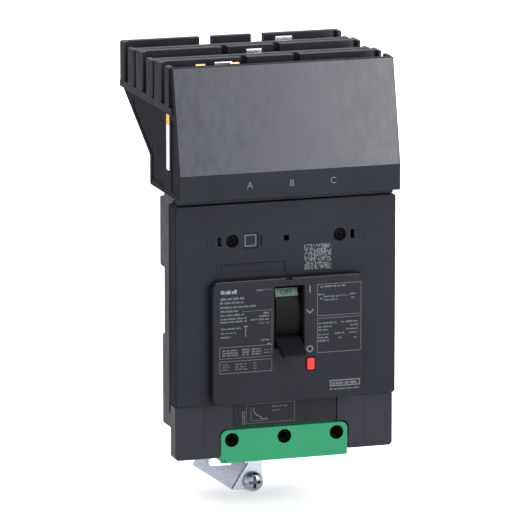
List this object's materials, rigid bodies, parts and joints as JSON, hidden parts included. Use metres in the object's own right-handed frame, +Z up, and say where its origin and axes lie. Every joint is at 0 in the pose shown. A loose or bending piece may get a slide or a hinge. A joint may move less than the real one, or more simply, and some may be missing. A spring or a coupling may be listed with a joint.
{
  "type": "molded case circuit breaker",
  "caption": "Molded case circuit breaker that plugs onto bus bars, with a toggle handle, push-to-trip button, lug screws behind a green cover and a zinc mounting bracket.",
  "frame": {"origin": "Centre of the upper rear mounting pad's flat face.", "axes": "+Z up, towards the plug-on end; +Y out of the back, into the panel; +X to the right seen from the front."},
  "size_m": [0.1144, 0.1068, 0.2258],
  "materials": {
    "case_charcoal": "fine spark-eroded texture, charcoal",
    "comb_dark": "moulded, near black",
    "lug_cover_green": "smooth satin green",
    "handle_black": "smooth satin black",
    "moving_dark": "moulded, dark brown grey",
    "flag_green": "satin green",
    "flag_white": "satin white",
    "button_red": "satin red",
    "arc_fibre": "fibre board",
    "zinc_steel": "bright zinc plate",
    "bright_steel": "plain spring steel",
    "dark_steel": "blackened steel",
    "bimetal_strip": "rolled bimetal",
    "copper": "bare copper"
  },
  "bodies": {
    "case": {"rear_base": "case_charcoal", "main_cover": "case_charcoal", "lower_housing": "case_charcoal", "nose_cover": "case_charcoal", "line_hood": "case_charcoal", "bus_comb": "comb_dark", "label_panel": "comb_dark", "lug_cover": "lug_cover_green", "cover_screw_left": "dark_steel", "cover_screw_right": "dark_steel", "mechanism_frame": "zinc_steel", "handle_pivot_pin": "bright_steel", "trip_button_spring": "bright_steel", "mounting_bracket": "zinc_steel", "line_conductor_left": "copper", "jaw_finger_front_left": "copper", "jaw_finger_rear_left": "copper", "jaw_spring_left": "bright_steel", "arc_chute_left": "arc_fibre", "load_strap_left": "copper", "bimetal_left": "bimetal_strip", "magnet_yoke_left": "dark_steel", "box_lug_left": "zinc_steel", "line_conductor_centre": "copper", "jaw_finger_front_centre": "copper", "jaw_finger_rear_centre": "copper", "jaw_spring_centre": "bright_steel", "arc_chute_centre": "arc_fibre", "load_strap_centre": "copper", "bimetal_centre": "bimetal_strip", "magnet_yoke_centre": "dark_steel", "box_lug_centre": "zinc_steel", "line_conductor_right": "copper", "jaw_finger_front_right": "copper", "jaw_finger_rear_right": "copper", "jaw_spring_right": "bright_steel", "arc_chute_right": "arc_fibre", "load_strap_right": "copper", "bimetal_right": "bimetal_strip", "magnet_yoke_right": "dark_steel", "box_lug_right": "zinc_steel"},
    "handle_lever": {"handle": "handle_black", "handle_shield": "handle_black", "off_flag": "flag_green", "on_flag": "flag_white", "handle_yoke": "zinc_steel", "toggle_pin": "bright_steel", "toggle_spring_left": "bright_steel", "toggle_spring_right": "bright_steel"},
    "contact_bar": {"crossbar": "moving_dark", "contact_arm_left": "copper", "contact_arm_centre": "copper", "contact_arm_right": "copper"},
    "cradle": {"latch_cradle": "dark_steel"},
    "trip_rod": {"trip_bar": "moving_dark"},
    "push_button": {"trip_button": "button_red"},
    "mount_fastener": {"mounting_screw": "zinc_steel"},
    "lug_clamp_left": {"lug_screw_left": "dark_steel"},
    "lug_clamp_centre": {"lug_screw_centre": "dark_steel"},
    "lug_clamp_right": {"lug_screw_right": "dark_steel"}
  },
  "joints": [
    {"name": "handle_swing", "type": "hinge", "parent": "case", "child": "handle_lever", "pos_m": [0, -0.055, -0.0292], "axis": [-1, 0, 0], "range_deg": [0, 39]},
    {"name": "contact_bar_swing", "type": "hinge", "parent": "case", "child": "contact_bar", "pos_m": [0, -0.033, -0.0135], "axis": [-1, 0, 0], "range_deg": [0, 29]},
    {"name": "trip_button_press", "type": "slide", "parent": "case", "child": "push_button", "axis": [0, 1, 0], "range_m": [0, 0.002], "stiffness_N_per_m": 700, "springref_m": -0.001, "deforming": ["trip_button_spring"]},
    {"name": "trip_bar_turn", "type": "hinge", "parent": "case", "child": "trip_rod", "pos_m": [0, -0.052, -0.0455], "axis": [1, 0, 0], "range_deg": [0, 12]},
    {"name": "cradle_release", "type": "hinge", "parent": "case", "child": "cradle", "pos_m": [0, -0.0604, -0.0111], "axis": [1, 0, 0], "range_deg": [0, 18]},
    {"name": "mounting_screw_turn", "type": "hinge", "parent": "case", "child": "mount_fastener", "pos_m": [0, -0.0289, -0.1258], "axis": [0, 1, 0], "continuous": true},
    {"name": "lug_screw_turn_left", "type": "hinge", "parent": "case", "child": "lug_clamp_left", "pos_m": [-0.027, -0.072, -0.0908], "axis": [0, 1, 0], "continuous": true},
    {"name": "lug_screw_turn_centre", "type": "hinge", "parent": "case", "child": "lug_clamp_centre", "pos_m": [0, -0.072, -0.0908], "axis": [0, 1, 0], "continuous": true},
    {"name": "lug_screw_turn_right", "type": "hinge", "parent": "case", "child": "lug_clamp_right", "pos_m": [0.027, -0.072, -0.0908], "axis": [0, 1, 0], "continuous": true}
  ],
  "couplings": [
    {"joint": "contact_bar_swing", "follows": "handle_swing", "ratio": 0.7435},
    {"joint": "trip_bar_turn", "follows": "trip_button_press", "rad_per_m": 104.7},
    {"joint": "cradle_release", "follows": "trip_button_press", "rad_per_m": 157}
  ]
}
